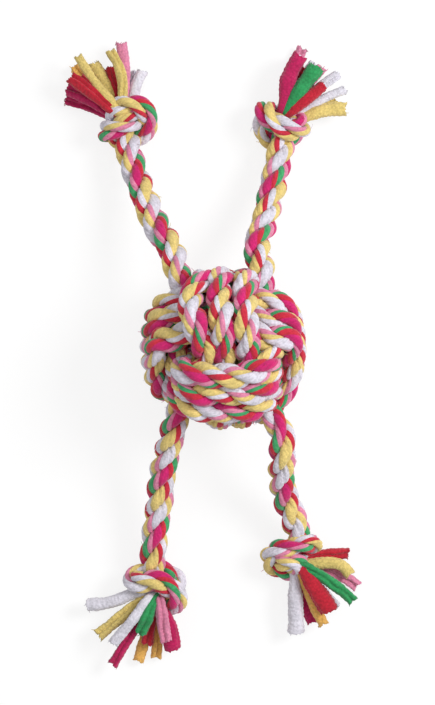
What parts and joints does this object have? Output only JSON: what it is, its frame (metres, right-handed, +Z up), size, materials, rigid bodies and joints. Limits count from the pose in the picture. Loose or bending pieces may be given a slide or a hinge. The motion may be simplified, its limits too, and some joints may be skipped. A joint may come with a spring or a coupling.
{
  "type": "rope dog toy",
  "caption": "Rope tug toy: a ball wound from three-strand cotton rope in three crossing bands, with four rope legs, each ending in an overhand knot and a fringe of jersey strips.",
  "frame": {"origin": "on the floor, in the middle of the small flat on which the wound ball rests", "axes": "+Z up from the floor, +Y along the toy towards its two upper legs, +X to the right seen from above"},
  "size_m": [0.1465, 0.3108, 0.0871],
  "materials": {
    "cotton_rope": "twisted dyed cotton, matt",
    "jersey_white": "rolled knitted cotton jersey, matt",
    "jersey_yellow": "rolled knitted cotton jersey, matt",
    "jersey_gold": "rolled knitted cotton jersey, matt",
    "jersey_pink": "rolled knitted cotton jersey, matt",
    "jersey_magenta": "rolled knitted cotton jersey, matt",
    "jersey_red": "rolled knitted cotton jersey, matt",
    "jersey_green": "rolled knitted cotton jersey, matt"
  },
  "bodies": {
    "ball": {"ball_winding": "cotton_rope", "heart_knot": "cotton_rope"},
    "upper_left_root": {"upper_left_leg_root": "cotton_rope"},
    "upper_left_shank": {"upper_left_leg_shank": "cotton_rope"},
    "upper_left_tassel": {"upper_left_knot": "cotton_rope", "upper_left_strip_01_white": "jersey_white", "upper_left_strip_02_white": "jersey_white", "upper_left_strip_03_pink": "jersey_pink", "upper_left_strip_04_yellow": "jersey_yellow", "upper_left_strip_05_red": "jersey_red", "upper_left_strip_06_red": "jersey_red", "upper_left_strip_07_yellow": "jersey_yellow", "upper_left_strip_08_yellow": "jersey_yellow", "upper_left_strip_09_gold": "jersey_gold", "upper_left_strip_10_red": "jersey_red", "upper_left_strip_11_red": "jersey_red", "upper_left_strip_12_magenta": "jersey_magenta", "upper_left_strip_13_magenta": "jersey_magenta"},
    "upper_right_root": {"upper_right_leg_root": "cotton_rope"},
    "upper_right_shank": {"upper_right_leg_shank": "cotton_rope"},
    "upper_right_tassel": {"upper_right_knot": "cotton_rope", "upper_right_strip_01_pink": "jersey_pink", "upper_right_strip_02_white": "jersey_white", "upper_right_strip_03_yellow": "jersey_yellow", "upper_right_strip_04_white": "jersey_white", "upper_right_strip_05_red": "jersey_red", "upper_right_strip_06_pink": "jersey_pink", "upper_right_strip_07_white": "jersey_white", "upper_right_strip_08_white": "jersey_white", "upper_right_strip_09_yellow": "jersey_yellow", "upper_right_strip_10_magenta": "jersey_magenta", "upper_right_strip_11_green": "jersey_green", "upper_right_strip_12_red": "jersey_red"},
    "lower_left_root": {"lower_left_leg_root": "cotton_rope"},
    "lower_left_shank": {"lower_left_leg_shank": "cotton_rope"},
    "lower_left_tassel": {"lower_left_knot": "cotton_rope", "lower_left_strip_01_white": "jersey_white", "lower_left_strip_02_yellow": "jersey_yellow", "lower_left_strip_03_white": "jersey_white", "lower_left_strip_04_magenta": "jersey_magenta", "lower_left_strip_05_green": "jersey_green", "lower_left_strip_06_gold": "jersey_gold", "lower_left_strip_07_red": "jersey_red", "lower_left_strip_08_gold": "jersey_gold", "lower_left_strip_09_pink": "jersey_pink", "lower_left_strip_10_magenta": "jersey_magenta"},
    "lower_right_root": {"lower_right_leg_root": "cotton_rope"},
    "lower_right_shank": {"lower_right_leg_shank": "cotton_rope"},
    "lower_right_tassel": {"lower_right_knot": "cotton_rope", "lower_right_strip_01_red": "jersey_red", "lower_right_strip_02_yellow": "jersey_yellow", "lower_right_strip_03_pink": "jersey_pink", "lower_right_strip_04_green": "jersey_green", "lower_right_strip_05_white": "jersey_white", "lower_right_strip_06_red": "jersey_red", "lower_right_strip_07_gold": "jersey_gold", "lower_right_strip_08_magenta": "jersey_magenta", "lower_right_strip_09_white": "jersey_white"}
  },
  "joints": [
    {"name": "upper_left_sweep", "type": "hinge", "parent": "ball", "child": "upper_left_root", "pos_m": [-0.02298, 0.03782, 0.04819], "axis": [0, 0, 1], "range_deg": [-20, 20]},
    {"name": "upper_left_lift", "type": "hinge", "parent": "upper_left_root", "child": "upper_left_shank", "pos_m": [-0.027, 0.05561, 0.038], "axis": [0.9138, 0.4061, 0], "range_deg": [-15, 50]},
    {"name": "upper_left_flick", "type": "hinge", "parent": "upper_left_shank", "child": "upper_left_tassel", "pos_m": [-0.047, 0.10061, 0.015], "axis": [0.9969, 0.0787, 0], "range_deg": [-30, 45]},
    {"name": "upper_right_sweep", "type": "hinge", "parent": "ball", "child": "upper_right_root", "pos_m": [0.02298, 0.03782, 0.04819], "axis": [0, 0, 1], "range_deg": [-20, 4]},
    {"name": "upper_right_lift", "type": "hinge", "parent": "upper_right_root", "child": "upper_right_shank", "pos_m": [0.0187, 0.05561, 0.038], "axis": [0.9784, -0.2068, 0], "range_deg": [-15, 50]},
    {"name": "upper_right_flick", "type": "hinge", "parent": "upper_right_shank", "child": "upper_right_tassel", "pos_m": [0.028, 0.09961, 0.015], "axis": [0.9997, 0.0263, 0], "range_deg": [-30, 45]},
    {"name": "lower_left_sweep", "type": "hinge", "parent": "ball", "child": "lower_left_root", "pos_m": [-0.02154, -0.02479, 0.04562], "axis": [0, 0, 1], "range_deg": [-20, 14]},
    {"name": "lower_left_lift", "type": "hinge", "parent": "lower_left_root", "child": "lower_left_shank", "pos_m": [-0.027, -0.04339, 0.0355], "axis": [-0.9869, 0.1613, 0], "range_deg": [-15, 50]},
    {"name": "lower_left_flick", "type": "hinge", "parent": "lower_left_shank", "child": "lower_left_tassel", "pos_m": [-0.0355, -0.09539, 0.015], "axis": [-0.9878, -0.156, 0], "range_deg": [-30, 45]},
    {"name": "lower_right_sweep", "type": "hinge", "parent": "ball", "child": "lower_right_root", "pos_m": [0.02832, -0.03429, 0.04733], "axis": [0, 0, 1], "range_deg": [-20, 20]},
    {"name": "lower_right_lift", "type": "hinge", "parent": "lower_right_root", "child": "lower_right_shank", "pos_m": [0.0294, -0.04389, 0.045], "axis": [-0.9886, -0.1506, 0], "range_deg": [-15, 50]},
    {"name": "lower_right_flick", "type": "hinge", "parent": "lower_right_shank", "child": "lower_right_tassel", "pos_m": [0.0349, -0.07999, 0.015], "axis": [-0.9995, -0.0309, 0], "range_deg": [-30, 45]}
  ]
}
